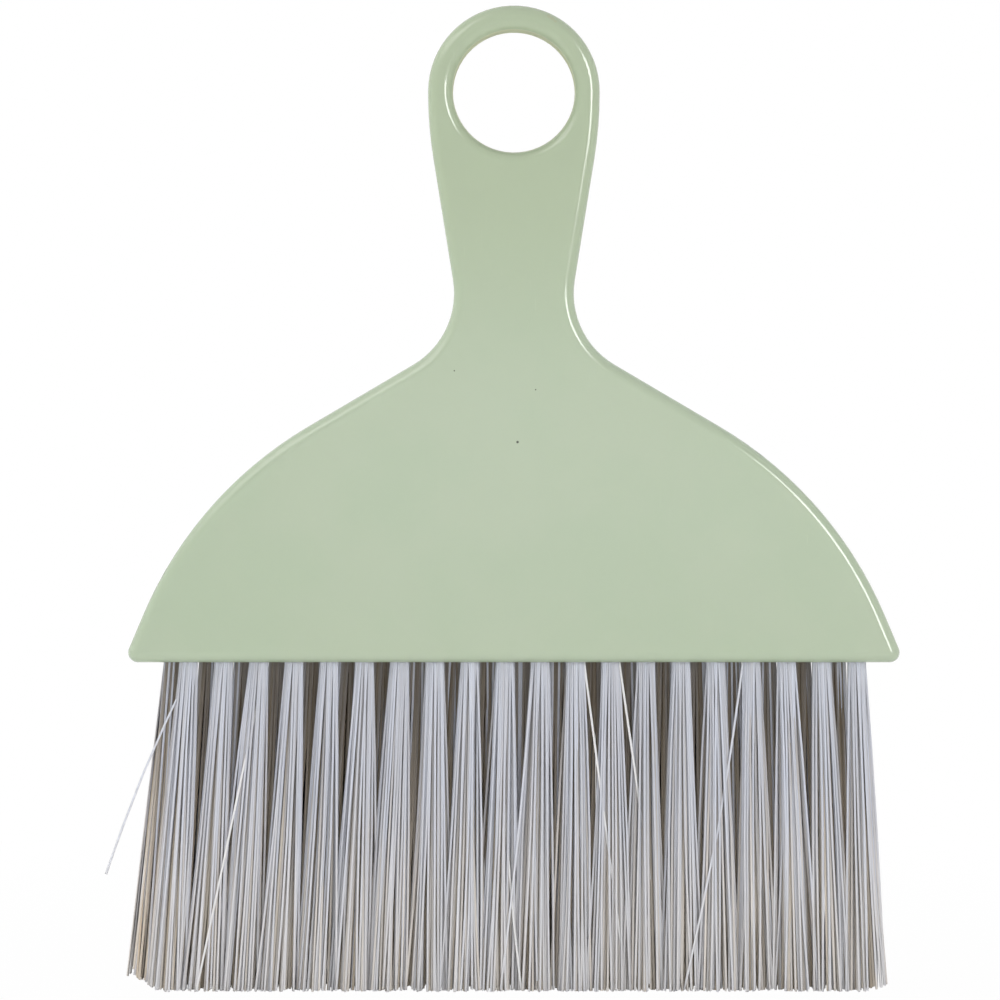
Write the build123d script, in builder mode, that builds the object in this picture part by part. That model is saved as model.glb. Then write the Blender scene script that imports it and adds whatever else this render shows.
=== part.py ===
"""Hand broom: a hollow moulded body with a hanging ring, and two rows of stapled bristle tufts."""

from build123d import *
from math import atan2, cos, pi, sin, sqrt, tan
import os

# Lengths are in millimetres. The broom stands upright on its bristle tips, with +Z up and its
# front facing -Y. The origin is at the tips, under the middle of the head.

# Outline of the body from the front, with heights above its lower edge
bristle_length = 59.2
body_height = 118.15
ring_radius = 15.45
hole_radius = 11.0
ring_side_drop = 6.2
neck_corner_half_width = 9.35
neck_corner_height = 58.7
neck_radius = 14.9
flank_corner_inset = 12.8
flank_corner_height = 30.35
flank_radius = 71.8
foot_half_width = 70.3
foot_corner_radius = 1.8

# Side view of the body: a flat front, and a back that slopes from the thick head to the thin handle
head_depth = 16.0
handle_depth = 8.5
head_back_height = 22.0
handle_back_height = 53.0
back_bend_radius = 60.0

# Walls and edges of the body
skin = 2.0
rim_wall = 1.5
seat_ledge = 0.7
front_edge_radius = 1.9
back_edge_radius = 1.1
hole_edge_radius = 1.75
solid_below_hole = 7.5
cavity_corner_radius = 3.5

# Pegs of the rear cover, their sockets, and the ribs and catches
peg_radius = 1.5
socket_wall = 1.2
socket_floor = 1.0
rib_thickness = 1.2
catch_height = 1.2
catch_reach = 0.7
catch_half_length = 50.0

# Clearances
fit_gap = 0.15
plug_gap = 0.05

# Tuft block
block_recess = 0.6
hole_depth = 8.0
catch_land = 1.1
block_top_land = 2.0
block_side_land = 0.9
block_end_land = 0.6

# Tufts, each with a root plug of folded filaments and strands that fan out to the cut tips
tufts_per_row = 20
tuft_radius = 1.65
strands_per_tuft = 12
strand_width = 0.5
strand_lap = 1.0
tuft_tip_gap = 0.1
row_tip_gap = 0.3
tip_inset = 0.2
tip_trim = 0.5

# Flat wire staples across the folds of the tufts
staple_length = 4.4
staple_height = 1.9
staple_thickness = 0.35
staple_turn = 30.0
fold_thickness = 0.9

# Shares: the sideways spread of the tips against the roots, the places of the pegs as parts of
# the foot's half width and the hollow's height, and how much of the ring's straight side its blend takes
tip_spread_share = 1.055
peg_place_shares = ((0.0, 0.93), (0.0, 0.62), (0.54, 0.31), (-0.54, 0.31))
ring_blend_share = 0.95

# Turn from each strand of a tuft to the next, which spreads them evenly over a disc
golden_turn = pi * (3.0 - sqrt(5.0))

# One overrun serves all cuts
overrun = 5.0

# Levels and planes
front_y = -head_depth / 2
ring_height = body_height - ring_radius
cavity_top = ring_height - hole_radius - solid_below_hole
foot_plane = Plane.XY.offset(bristle_length)
block_face_plane = foot_plane.offset(block_recess)
side_plane = Plane(origin=(0, 0, bristle_length), x_dir=(0, 1, 0), z_dir=(1, 0, 0))
backwards = (0, 1, 0)

# Block: its height takes the holes, the catch grooves and the land above them
hole_end_height = block_recess + hole_depth
catch_middle_height = hole_end_height + catch_land + fit_gap + catch_height / 2
block_top_height = catch_middle_height + catch_height / 2 + fit_gap + block_top_land
block_depth = head_depth - 2 * (skin + fit_gap)
hollow_inset = rim_wall + seat_ledge

# Holes: two rows fill the block's depth, and their pitch fills its length where the holes end
tuft_hole_radius = tuft_radius + plug_gap
row_spacing = block_depth - 2 * (block_side_land + tuft_hole_radius)
foot_flare = flank_corner_inset / flank_corner_height
block_end_inset = (hollow_inset + fit_gap) * sqrt(1 + foot_flare**2)
block_half_length = foot_half_width - foot_flare * hole_end_height - block_end_inset
tuft_reach = block_half_length - block_end_land - tuft_hole_radius
tuft_pitch = tuft_reach / ((tufts_per_row - 1) / 2 + 1 / 4)

# Plugs and staples, with heights above the block's lower face
plug_height = hole_depth - plug_gap
staple_top = plug_height - fold_thickness
staple_bottom = staple_top - staple_height

# Tips: each row covers its half of the head's depth, and each tuft its pitch along the row
row_tip_half_depth = (head_depth / 2 - tip_inset - row_tip_gap / 2) / 2
row_tip_middle = row_tip_gap / 2 + row_tip_half_depth
strand_root_reach = tuft_radius - strand_width * sqrt(2) / 2
strand_tip_reach_x = (tuft_pitch * tip_spread_share - tuft_tip_gap - strand_width) / 2
strand_tip_reach_y = row_tip_half_depth - strand_width / 2


def front_plane(depth=0.0):
    """Plane of the outline at a depth behind the front face, with its origin at the lower edge."""
    return Plane(origin=(0, front_y + depth, bristle_length), x_dir=(1, 0, 0), z_dir=(0, -1, 0))


def outline_shape(drop=0.0):
    """The body's outline, flat on XY, with its sides run on below the lower edge by drop."""
    lean_run = ring_radius - neck_corner_half_width
    lean_height = ring_height - ring_side_drop - neck_corner_height
    ring_blend_radius = ring_blend_share * ring_side_drop / tan(atan2(lean_run, lean_height) / 2)
    with BuildSketch() as drawing:
        with BuildLine():
            side = FilletPolyline(
                (ring_radius, ring_height),
                (ring_radius, ring_height - ring_side_drop),
                (neck_corner_half_width, neck_corner_height),
                (foot_half_width - flank_corner_inset, flank_corner_height),
                (foot_half_width + foot_flare * drop, -drop),
                radius=(ring_blend_radius, neck_radius, flank_radius),
            )
            Polyline(side @ 1, (0, -drop), (0, ring_height), side @ 0)
        make_face()
        mirror(about=Plane.YZ)
        with Locations((0, ring_height)):
            Circle(ring_radius)
    return drawing.sketch


def outline():
    """Face of the whole outline on the front, with the ring's hole and rounded foot corners."""
    with BuildSketch(front_plane()) as drawing:
        add(outline_shape())
        foot_points = drawing.vertices().group_by(Axis.Y)[0].sort_by(Axis.X)
        fillet([foot_points[0], foot_points[-1]], radius=foot_corner_radius)
        with Locations((0, ring_height)):
            Circle(hole_radius, mode=Mode.SUBTRACT)
    return drawing.sketch


def inner_shape(inset):
    """Space inside the outline, flat on XY, drawn in by inset: closed below the ring, open at the foot."""
    drop = overrun + inset
    top = cavity_top + rim_wall
    with BuildSketch() as drawing:
        add(outline_shape(drop))
        with Locations((0, top)):
            Rectangle(2 * (foot_half_width + overrun), top + drop,
                      align=(Align.CENTER, Align.MAX), mode=Mode.INTERSECT)
        fillet(drawing.vertices().group_by(Axis.Y)[-1], radius=cavity_corner_radius)
        offset(amount=-inset)
    return drawing.sketch


def inner_outline(inset, depth=0.0):
    """Face of the space inside the outline, drawn in by inset, at a depth behind the front."""
    with BuildSketch(front_plane(depth)) as drawing:
        add(inner_shape(inset))
    return drawing.sketch


def back_profile(inset=0.0):
    """Face, in side view, of all that lies in front of the back surface, drawn in by inset."""
    handle_back = front_y + handle_depth
    ahead = front_y - overrun - inset
    low = -overrun - inset
    high = body_height + overrun + inset
    with BuildSketch(side_plane) as drawing:
        with BuildLine():
            back = FilletPolyline(
                (-front_y, low),
                (-front_y, head_back_height),
                (handle_back, handle_back_height),
                (handle_back, high),
                radius=back_bend_radius,
            )
            Polyline(back @ 1, (ahead, high), (ahead, low), back @ 0)
        make_face()
        if inset > 0:
            offset(amount=-inset, kind=Kind.INTERSECTION)
    return drawing.sketch


def trim_behind(inset=0.0, mode=Mode.INTERSECT):
    """Keep what lies in front of the back surface, drawn in by inset, or take it away."""
    extrude(back_profile(inset), amount=foot_half_width + overrun, both=True, mode=mode)


def hole_mouths(part):
    """Sharp edges round the two mouths of the hanging hole."""
    return part.edges().filter_by(GeomType.CIRCLE).filter_by(lambda edge: edge.radius == hole_radius)


def peg_places():
    """Places of the pegs on the outline's plane."""
    return [(x * foot_half_width, z * cavity_top) for x, z in peg_place_shares]


def tuft_places(side):
    """Places of one row's tufts: side is -1 for the front row and 1 for the rear row."""
    middle = (tufts_per_row - 1) / 2 + side / 4
    return [((index - middle) * tuft_pitch, side * row_spacing / 2) for index in range(tufts_per_row)]


def catch_bar(depth, thickness):
    """Bar along the block that catches in its groove, from a depth behind the front."""
    with BuildSketch(front_plane(depth)) as drawing:
        with Locations((0, catch_middle_height)):
            Rectangle(2 * catch_half_length, catch_height)
    extrude(drawing.sketch, amount=thickness, dir=backwards)


# Ribs, peg sockets and the catch inside the front shell: they stand on its face and stop under the cover
with BuildPart() as fittings:
    rib_foot = block_top_height + fit_gap
    with BuildSketch(front_plane(skin / 2)) as rib_plan:
        with Locations((0, rib_foot)):
            Rectangle(2 * foot_half_width, rib_thickness, align=(Align.CENTER, Align.MIN))
        with Locations(*sorted({(x, rib_foot) for x, z in peg_places()})):
            Rectangle(rib_thickness, body_height, align=(Align.CENTER, Align.MIN))
        with Locations(*peg_places()):
            Circle(peg_radius + plug_gap + socket_wall)
        add(inner_shape(hollow_inset - seat_ledge / 2), mode=Mode.INTERSECT)
    extrude(rib_plan.sketch, amount=head_depth, dir=backwards)
    with BuildSketch(front_plane(skin + socket_floor)) as socket_plan:
        with Locations(*peg_places()):
            Circle(peg_radius + plug_gap)
    extrude(socket_plan.sketch, amount=head_depth, dir=backwards, mode=Mode.SUBTRACT)
    trim_behind(skin + fit_gap)
    catch_bar(skin / 2, skin / 2 + catch_reach)

# Seat of the rear cover: a layer as thick as the cover, under the back surface, inside the rim
with BuildPart() as cover_seat:
    extrude(inner_outline(rim_wall), amount=head_depth + overrun, dir=backwards)
    trim_behind(skin, Mode.SUBTRACT)

# Front shell: the glossy face, its walls all round and the solid ring, hollow behind
with BuildPart() as front_shell:
    extrude(outline(), amount=head_depth, dir=backwards)
    trim_behind()
    front_edges = front_shell.faces().sort_by(Axis.Y)[0].edges()
    back_folds = front_shell.edges().filter_by(Axis.X).filter_by_position(
        Axis.Z, bristle_length + foot_corner_radius, bristle_length + body_height)
    back_edges = front_shell.edges().filter_by(Axis.Y, reverse=True) - front_edges - back_folds
    fillet(back_edges - hole_mouths(front_shell), radius=back_edge_radius)
    fillet(front_shell.faces().sort_by(Axis.Y)[0].outer_wire().edges(), radius=front_edge_radius)
    fillet(hole_mouths(front_shell), radius=hole_edge_radius)
    extrude(inner_outline(hollow_inset, skin), amount=head_depth, dir=backwards, mode=Mode.SUBTRACT)
    add(cover_seat.part, mode=Mode.SUBTRACT)
    add(fittings.part)
front_shell.part.label = "front_shell"

# Pegs of the rear cover, rooted halfway into it
with BuildPart() as pegs:
    with BuildSketch(front_plane(skin + socket_floor + fit_gap)) as peg_plan:
        with Locations(*peg_places()):
            Circle(peg_radius)
    extrude(peg_plan.sketch, amount=head_depth, dir=backwards)
    trim_behind(skin / 2)

# Rear cover: a plate that follows the back surface, set into the rim
with BuildPart() as rear_cover:
    extrude(inner_outline(rim_wall + fit_gap), amount=head_depth + overrun, dir=backwards)
    trim_behind()
    trim_behind(skin, Mode.SUBTRACT)
    split(bisect_by=foot_plane, keep=Keep.TOP)
    add(pegs.part)
    catch_bar(head_depth - skin - catch_reach, catch_reach + skin / 2)
rear_cover.part.label = "rear_cover"

# Tuft block: it fills the foot of the hollow, with a blind hole for every tuft
with BuildPart() as tuft_block:
    extrude(inner_outline(hollow_inset + fit_gap, skin + fit_gap), amount=block_depth, dir=backwards)
    trim_behind(skin + fit_gap)
    split(bisect_by=block_face_plane, keep=Keep.TOP)
    split(bisect_by=foot_plane.offset(block_top_height), keep=Keep.BOTTOM)
    with BuildSketch(block_face_plane) as hole_plan:
        with Locations(*tuft_places(-1), *tuft_places(1)):
            Circle(tuft_hole_radius)
    extrude(hole_plan.sketch, amount=hole_depth, mode=Mode.SUBTRACT)
    with BuildSketch(block_face_plane) as nick_plan:
        with Locations(*tuft_places(-1), *tuft_places(1)):
            Rectangle(staple_length + 2 * plug_gap, staple_thickness + 2 * plug_gap, rotation=staple_turn)
    extrude(nick_plan.sketch, amount=staple_top + plug_gap, mode=Mode.SUBTRACT)
    with BuildSketch(side_plane) as groove_plan:
        with Locations((-block_depth / 2, catch_middle_height), (block_depth / 2, catch_middle_height)):
            Rectangle(2 * catch_reach, catch_height + 2 * fit_gap)
    extrude(groove_plan.sketch, amount=foot_half_width, both=True, mode=Mode.SUBTRACT)
tuft_block.part.label = "tuft_block"


def staple_row(side):
    """All the staples of one row, each a separate flat wire across its tuft's fold."""
    with BuildPart() as staples:
        with BuildSketch(block_face_plane.offset(staple_bottom)) as wire_plan:
            with Locations(*tuft_places(side)):
                Rectangle(staple_length, staple_thickness, rotation=staple_turn)
        extrude(wire_plan.sketch, amount=staple_height)
    return staples.part


def tuft(place, first_turn):
    """One tuft: its root plug, with a window for the staple, and its strands fanned to the tips."""
    root_x, root_y = place
    root = block_face_plane.origin + Vector(root_x, root_y, strand_lap)
    tip = Vector(root_x * tip_spread_share, row_tip_middle if root_y > 0 else -row_tip_middle, -tip_trim)
    strands = []
    for index in range(strands_per_tuft):
        reach = sqrt((index + 1 / 2) / strands_per_tuft)
        turn = first_turn + index * golden_turn
        across, along = reach * cos(turn), reach * sin(turn)
        start = root + Vector(across * strand_root_reach, along * strand_root_reach, 0)
        end = tip + Vector(across * strand_tip_reach_x, along * strand_tip_reach_y, 0)
        strands.append(Solid.extrude(Face.make_rect(strand_width, strand_width, Plane(start)), end - start))
    with BuildPart() as piece:
        with BuildSketch(block_face_plane) as plug_plan:
            with Locations(place):
                Circle(tuft_radius)
        extrude(plug_plan.sketch, amount=plug_height)
        with BuildSketch(block_face_plane.offset(staple_bottom - plug_gap)) as window_plan:
            with Locations(place):
                Rectangle(staple_length, staple_thickness + 2 * plug_gap, rotation=staple_turn)
        extrude(window_plan.sketch, amount=staple_height + 2 * plug_gap, mode=Mode.SUBTRACT)
        add(strands)
        split(bisect_by=Plane.XY, keep=Keep.TOP)
    return piece.part


os.makedirs("parts", exist_ok=True)
export_step(front_shell.part, "parts/front_shell.step")
export_step(rear_cover.part, "parts/rear_cover.step")
export_step(tuft_block.part, "parts/tuft_block.step")

for row, side in (("front", -1), ("rear", 1)):
    staples = staple_row(side)
    staples.label = f"staples_{row}_row"
    export_step(staples, f"parts/{staples.label}.step")
    for number, place in enumerate(tuft_places(side), start=1):
        piece = tuft(place, number * golden_turn)
        piece.label = f"tuft_{row}_{number:02d}"
        export_step(piece, f"parts/{piece.label}.step")
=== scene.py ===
"""Looks of a hand broom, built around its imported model.

The moulded body, its rear cover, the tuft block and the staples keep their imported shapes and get
their finishes here. Every tuft is rebuilt strand by strand. All lengths are in metres, in the
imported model's frame: +Z up from the bristle tips, the front facing -Y.
"""

import logging
import math
from dataclasses import dataclass, field
from enum import Enum
from typing import Any

import bpy
import numpy as np
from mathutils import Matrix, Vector

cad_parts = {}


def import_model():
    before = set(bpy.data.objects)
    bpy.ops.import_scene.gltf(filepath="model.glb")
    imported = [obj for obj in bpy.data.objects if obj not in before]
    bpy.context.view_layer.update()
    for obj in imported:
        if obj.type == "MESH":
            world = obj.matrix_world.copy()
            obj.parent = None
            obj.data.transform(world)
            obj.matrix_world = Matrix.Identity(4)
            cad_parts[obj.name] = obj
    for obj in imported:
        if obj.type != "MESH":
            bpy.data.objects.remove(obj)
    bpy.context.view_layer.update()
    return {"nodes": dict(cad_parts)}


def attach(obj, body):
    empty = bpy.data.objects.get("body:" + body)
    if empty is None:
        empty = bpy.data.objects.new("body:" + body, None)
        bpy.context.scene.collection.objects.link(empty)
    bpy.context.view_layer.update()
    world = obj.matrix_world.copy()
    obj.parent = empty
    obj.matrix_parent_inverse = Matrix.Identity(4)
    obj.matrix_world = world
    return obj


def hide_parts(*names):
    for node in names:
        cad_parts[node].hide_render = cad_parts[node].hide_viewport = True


Colour = tuple[float, float, float]
Point = tuple[float, float, float]
Pair = tuple[float, float]
Spot = tuple[Point, float]

LOG = logging.getLogger("hand_broom")
MM = 0.001
BODY = "root"
BLACK: Colour = (0.0, 0.0, 0.0)
WHITE: Colour = (1.0, 1.0, 1.0)
IN_FRONT_PLANE: Point = (1.0, 0.0, 1.0)


class Slot(Enum):
    """A material slot's name, which nothing in this script uses."""

    BRISTLE = "bristle"


class Side(Enum):
    """The two rows of tufts, each with the sign of its place in Y."""

    FRONT = -1
    REAR = 1

    @property
    def label(self) -> str:
        """The row's name in the names of its pieces."""
        return self.name.lower()


class Blend(Enum):
    """What a Mix node blends: its data type, the sockets of the two ends and the output."""

    VECTOR = ("VECTOR", 4, 5, 1)
    COLOUR = ("RGBA", 6, 7, 2)


def deselect() -> None:
    """Leave nothing selected and nothing active."""
    bpy.ops.object.select_all(action="DESELECT")
    bpy.context.view_layer.objects.active = None


def activate(piece: bpy.types.Object) -> None:
    """Make a piece the only selected and active one.

    Args:
        piece: The object that the next operator works on.
    """
    deselect()
    piece.select_set(True)
    bpy.context.view_layer.objects.active = piece


def dress(piece: bpy.types.Object, material: bpy.types.Material) -> None:
    """Give a piece one material all over, on its own slots.

    Args:
        piece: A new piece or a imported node.
        material: The finish it gets.
    """
    if not piece.material_slots:
        piece.data.materials.append(material)
    for place in piece.material_slots:
        place.link = "OBJECT"
        place.material = material


def shade(colour: Colour, factor: float) -> Colour:
    """A colour made lighter or darker by a factor."""
    return tuple(part * factor for part in colour)


def tint(first: Colour, second: Colour) -> Colour:
    """One colour multiplied by another."""
    return tuple(one * other for one, other in zip(first, second))


class Sheet:
    """A material's node tree around one Principled shader, written node by node.

    Most of a noise's values lie in noise_body.
    """

    noise_body: Pair = (0.3, 0.7)

    def __init__(self, name: str) -> None:
        """Start the tree.

        Args:
            name: The material's name.
        """
        self.material = bpy.data.materials.new(name)
        self.material.use_nodes = True
        self.nodes = self.material.node_tree.nodes
        self.links = self.material.node_tree.links
        self.nodes.clear()
        self.shader = self.nodes.new("ShaderNodeBsdfPrincipled")
        self.end = self.nodes.new("ShaderNodeOutputMaterial")
        self.links.new(self.shader.outputs["BSDF"], self.end.inputs["Surface"])

    def add(self, kind: str, inputs: dict[Any, Any], out: Any = 0, **settings: Any) -> Any:
        """Add a node, with its inputs set or linked.

        Args:
            kind: The node's type.
            inputs: Values or outputs of other nodes, by input name or number.
            out: The name or number of the output that is wanted.
            **settings: The node's own properties.

        Returns:
            The wanted output of the new node.
        """
        node = self.nodes.new(kind)
        for key, value in settings.items():
            setattr(node, key, value)
        for key, value in inputs.items():
            self.feed(node.inputs[key], value)
        return node.outputs[out]

    def feed(self, socket: Any, value: Any) -> None:
        """Set a socket to a constant, or link an output to it.

        Args:
            socket: The input.
            value: A number, a colour, a vector or another node's output.
        """
        if isinstance(value, bpy.types.NodeSocket):
            self.links.new(value, socket)
        elif socket.type == "RGBA":
            socket.default_value = (*value, 1.0)
        else:
            socket.default_value = value

    def constants(self, **values: Any) -> None:
        """Set constants on the shader's own sockets; words in a name are joined by underscores."""
        for key, value in values.items():
            socket = key.replace("_", " ").title().replace("Ior", "IOR")
            self.feed(self.shader.inputs[socket], value)

    def place(self) -> Any:
        """The point on the piece, in its Object coordinates."""
        return self.add("ShaderNodeTexCoord", {}, "Object")

    def own_normal(self) -> Any:
        """The normal of the piece's own surface."""
        return self.add("ShaderNodeNewGeometry", {}, "Normal")

    def attribute(self, name: str, out: str = "Fac") -> Any:
        """An attribute of the piece's own mesh."""
        return self.add("ShaderNodeAttribute", {}, out, attribute_name=name)

    def axis(self, point: Any, name: str) -> Any:
        """One coordinate of a point or a vector."""
        return self.add("ShaderNodeSeparateXYZ", {0: point}, name)

    def noise(self, point: Any, scale: float, detail: float = 3.0) -> Any:
        """Soft noise between 0 and 1.

        Args:
            point: Where it is read.
            scale: Its features per metre, about.
            detail: Its octaves.

        Returns:
            The noise's value.
        """
        inputs = {"Vector": point, "Scale": scale, "Detail": detail}
        return self.add("ShaderNodeTexNoise", inputs, "Fac")

    def streaks(self, point: Any, counts: Point, detail: float, turn: float = 0.0) -> Any:
        """Noise that is drawn out along one direction.

        Args:
            point: Where it is read.
            counts: Its features per metre along each axis, about.
            detail: Its octaves.
            turn: How far it is turned about Y, in radians.

        Returns:
            The noise's value.
        """
        inputs = {"Vector": point, "Rotation": (0.0, turn, 0.0), "Scale": counts}
        return self.noise(self.add("ShaderNodeMapping", inputs), 1.0, detail)

    def ramp(self, value: Any, ends: Pair, low: float = 0.0, high: float = 1.0) -> Any:
        """A smooth ramp from low to high, held outside its ends.

        Args:
            value: The value it is read at.
            ends: Where the ramp leaves low, and where it reaches high.
            low: The result before the ramp.
            high: The result after it.

        Returns:
            The ramp's value.
        """
        inputs = {"Value": value, "From Min": ends[0], "From Max": ends[1]}
        inputs |= {"To Min": low, "To Max": high}
        return self.add("ShaderNodeMapRange", inputs, interpolation_type="SMOOTHSTEP")

    def uneven(self, pattern: Any, rough: float, shares: Pair) -> Any:
        """Roughness that follows a noise, between two shares of its usual value."""
        return self.ramp(pattern, self.noise_body, rough * shares[0], rough * shares[1])

    def calc(self, first: Any, second: Any, operation: str = "ADD") -> Any:
        """Two values brought together by one operation of Math."""
        return self.add("ShaderNodeMath", {0: first, 1: second}, operation=operation)

    def limit(self, value: Any) -> Any:
        """A value held between 0 and 1."""
        return self.add("ShaderNodeClamp", {"Value": value})

    def vector(self, operation: str, first: Any, second: Any = None) -> Any:
        """A vector changed by one operation of Vector Math, or brought together with another.

        Args:
            operation: The operation.
            first: The vector.
            second: The other vector, or the factor where it is scaled.

        Returns:
            The vector that comes out, or the number where the operation gives one.
        """
        inputs = {0: first}
        if second is not None:
            inputs["Scale" if operation == "SCALE" else 1] = second
        out = "Value" if operation in ("DISTANCE", "DOT_PRODUCT") else "Vector"
        return self.add("ShaderNodeVectorMath", inputs, out, operation=operation)

    def mix(self, share: Any, first: Any, second: Any, blend: Blend = Blend.COLOUR) -> Any:
        """A colour or a vector between two others.

        Args:
            share: How much of the second there is.
            first: The one at 0.
            second: The one at 1.
            blend: Whether they are colours or vectors.

        Returns:
            The mixture.
        """
        data_type, low, high, out = blend.value
        inputs = {0: share, low: first, high: second}
        return self.add("ShaderNodeMix", inputs, out, data_type=data_type)

    def spot(self, point: Any, centre: Point, radius: float) -> Any:
        """A round soft-edged spot at a place.

        Args:
            point: Where it is read.
            centre: The spot's middle.
            radius: Its outer radius.

        Returns:
            1 in the spot and 0 outside it.
        """
        return self.ramp(self.vector("DISTANCE", point, centre), (radius, radius / 2))

    def bump(self, height: Any, depth: float, under: Any = None) -> Any:
        """A bump over an earlier one.

        Args:
            height: The relief, between 0 and 1.
            depth: How deep 1 is, in metres.
            under: The normal that it lies on, if any.

        Returns:
            The new normal.
        """
        inputs = {"Height": height, "Distance": depth}
        if under is not None:
            inputs["Normal"] = under
        return self.add("ShaderNodeBump", inputs)

    def finish(self, colour: Any, rough: Any, normal: Any) -> bpy.types.Material:
        """Link what varies over the surface to the shader.

        Args:
            colour: The base colour.
            rough: The roughness.
            normal: The surface normal.

        Returns:
            The finished material.
        """
        self.feed(self.shader.inputs["Base Color"], colour)
        self.feed(self.shader.inputs["Roughness"], rough)
        self.feed(self.shader.inputs["Normal"], normal)
        return self.material


@dataclass(frozen=True)
class Scuffs:
    """Sparse hairline scuffs in two directions, on patches of the surface and on rubbed places."""

    turns: Pair = (0.62, -0.95)
    counts_along: Pair = (90.0, 130.0)
    count_across: float = 3200.0
    count_deep: float = 60.0
    detail: float = 2.0
    line: Pair = (0.70, 0.78)
    patch_count: float = 28.0
    patch: Pair = (0.52, 0.66)
    patch_share: float = 0.5
    rubs: tuple[Spot, ...] = ()

    def marks(self, sheet: Sheet, place: Any) -> Any:
        """Write the scuffs.

        Args:
            sheet: The tree they are written into.
            place: The point on the piece.

        Returns:
            1 on a scuff and 0 off it.
        """
        marks = None
        for turn, along in zip(self.turns, self.counts_along):
            counts = (self.count_across, self.count_deep, along)
            lines = sheet.ramp(sheet.streaks(place, counts, self.detail, turn), self.line)
            marks = lines if marks is None else sheet.calc(marks, lines, "MAXIMUM")
        cloud = sheet.noise(place, self.patch_count, self.detail)
        patches = sheet.ramp(cloud, self.patch, 0.0, self.patch_share)
        for centre, radius in self.rubs:
            patches = sheet.calc(patches, sheet.spot(place, centre, radius), "MAXIMUM")
        return sheet.calc(marks, patches, "MULTIPLY")


@dataclass(frozen=True)
class FrontEdge:
    """The rounded front edge of the body, whose lean is taken from the true shape.

    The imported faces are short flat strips, and a mirror-like highlight would show each of them.
    """

    front: float = -0.008
    radius: float = 0.0019
    hole_radius: float = 0.00175
    hole_reach: float = 0.0132
    smoothing: float = 0.0012
    samples: int = 6
    flank_middle: Pair = (0.00058, 0.03975)
    flank_radius: float = 0.0718
    flank_lines: tuple[Point, Point] = ((0.9214, 0.0, 0.3886), (0.5074, 0.0, 0.8618))
    flank_low: float = 0.0612
    flank_high: float = 0.107
    outer_part: Pair = (0.85, 0.6)

    def normal(self, sheet: Sheet, place: Any, away: Any) -> Any:
        """The surface normal, with its true lean on the rounded edges.

        Args:
            sheet: The tree it is written into.
            place: The point on the piece.
            away: The point's distance from the hole's axis.

        Returns:
            The normal.
        """
        near_hole = sheet.calc(away, self.hole_reach, "LESS_THAN")
        radius = sheet.ramp(near_hole, (0.0, 1.0), self.radius, self.hole_radius)
        depth = sheet.calc(sheet.axis(place, "Y"), self.front, "SUBTRACT")
        frontward = sheet.limit(sheet.calc(1.0, sheet.calc(depth, radius, "DIVIDE"), "SUBTRACT"))
        on_flank, outward, reach = self.flank(sheet, place)
        inner = sheet.calc(on_flank, sheet.ramp(reach, self.outer_part), "MULTIPLY")
        side = sheet.ramp(inner, (0.0, 1.0), self.other_leg(sheet, frontward), reach)
        even = sheet.add("ShaderNodeBevel", {"Radius": self.smoothing}, samples=self.samples)
        even = sheet.vector("NORMALIZE", sheet.vector("MULTIPLY", even, IN_FRONT_PLANE))
        out = sheet.vector("SCALE", sheet.mix(on_flank, even, outward, Blend.VECTOR), side)
        lean = sheet.calc(self.other_leg(sheet, side), -1.0, "MULTIPLY")
        out = sheet.vector("ADD", out, sheet.add("ShaderNodeCombineXYZ", {"Y": lean}))
        on_edge = sheet.calc(depth, radius, "LESS_THAN")
        return sheet.mix(on_edge, sheet.own_normal(), out, Blend.VECTOR)

    def other_leg(self, sheet: Sheet, leg: Any) -> Any:
        """The other leg of a right triangle whose longest side is 1."""
        squared = sheet.calc(1.0, sheet.calc(leg, leg, "MULTIPLY"), "SUBTRACT")
        return sheet.calc(squared, 0.5, "POWER")

    def flank(self, sheet: Sheet, place: Any) -> tuple[Any, Any, Any]:
        """The shape of the head's long curved sides, as seen from the front.

        Args:
            sheet: The tree it is written into.
            place: The point on the piece.

        Returns:
            1 on the flanks, the way straight out of them, and the share of the front edge's
            radius that the point lies out from the flat face.
        """
        across, height = sheet.axis(place, "X"), sheet.axis(place, "Z")
        sign = sheet.calc(across, 0.0, "SIGN")
        middle_x, middle_z = self.flank_middle
        span = sheet.calc(sheet.calc(across, 0.0, "ABSOLUTE"), middle_x, "SUBTRACT")
        rise = sheet.calc(height, middle_z, "SUBTRACT")
        reach = sheet.add("ShaderNodeCombineXYZ", {"X": span, "Z": rise})
        out = sheet.vector("NORMALIZE", reach)
        slope = sheet.axis(out, "Z")
        for line, operation in zip(self.flank_lines, ("LESS_THAN", "GREATER_THAN")):
            straight = sheet.calc(slope, line[2], operation)
            out = sheet.mix(straight, out, line, Blend.VECTOR)
        away = sheet.vector("DOT_PRODUCT", reach, out)
        share = sheet.calc(away, self.flank_radius - self.radius, "SUBTRACT")
        share = sheet.limit(sheet.calc(share, self.radius, "DIVIDE"))
        mirror = sheet.add("ShaderNodeCombineXYZ", {"X": sign, "Z": 1.0})
        out = sheet.vector("MULTIPLY", out, mirror)
        above = sheet.calc(height, self.flank_low, "GREATER_THAN")
        below = sheet.calc(height, self.flank_high, "LESS_THAN")
        return sheet.calc(above, below, "MULTIPLY"), out, share


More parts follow.
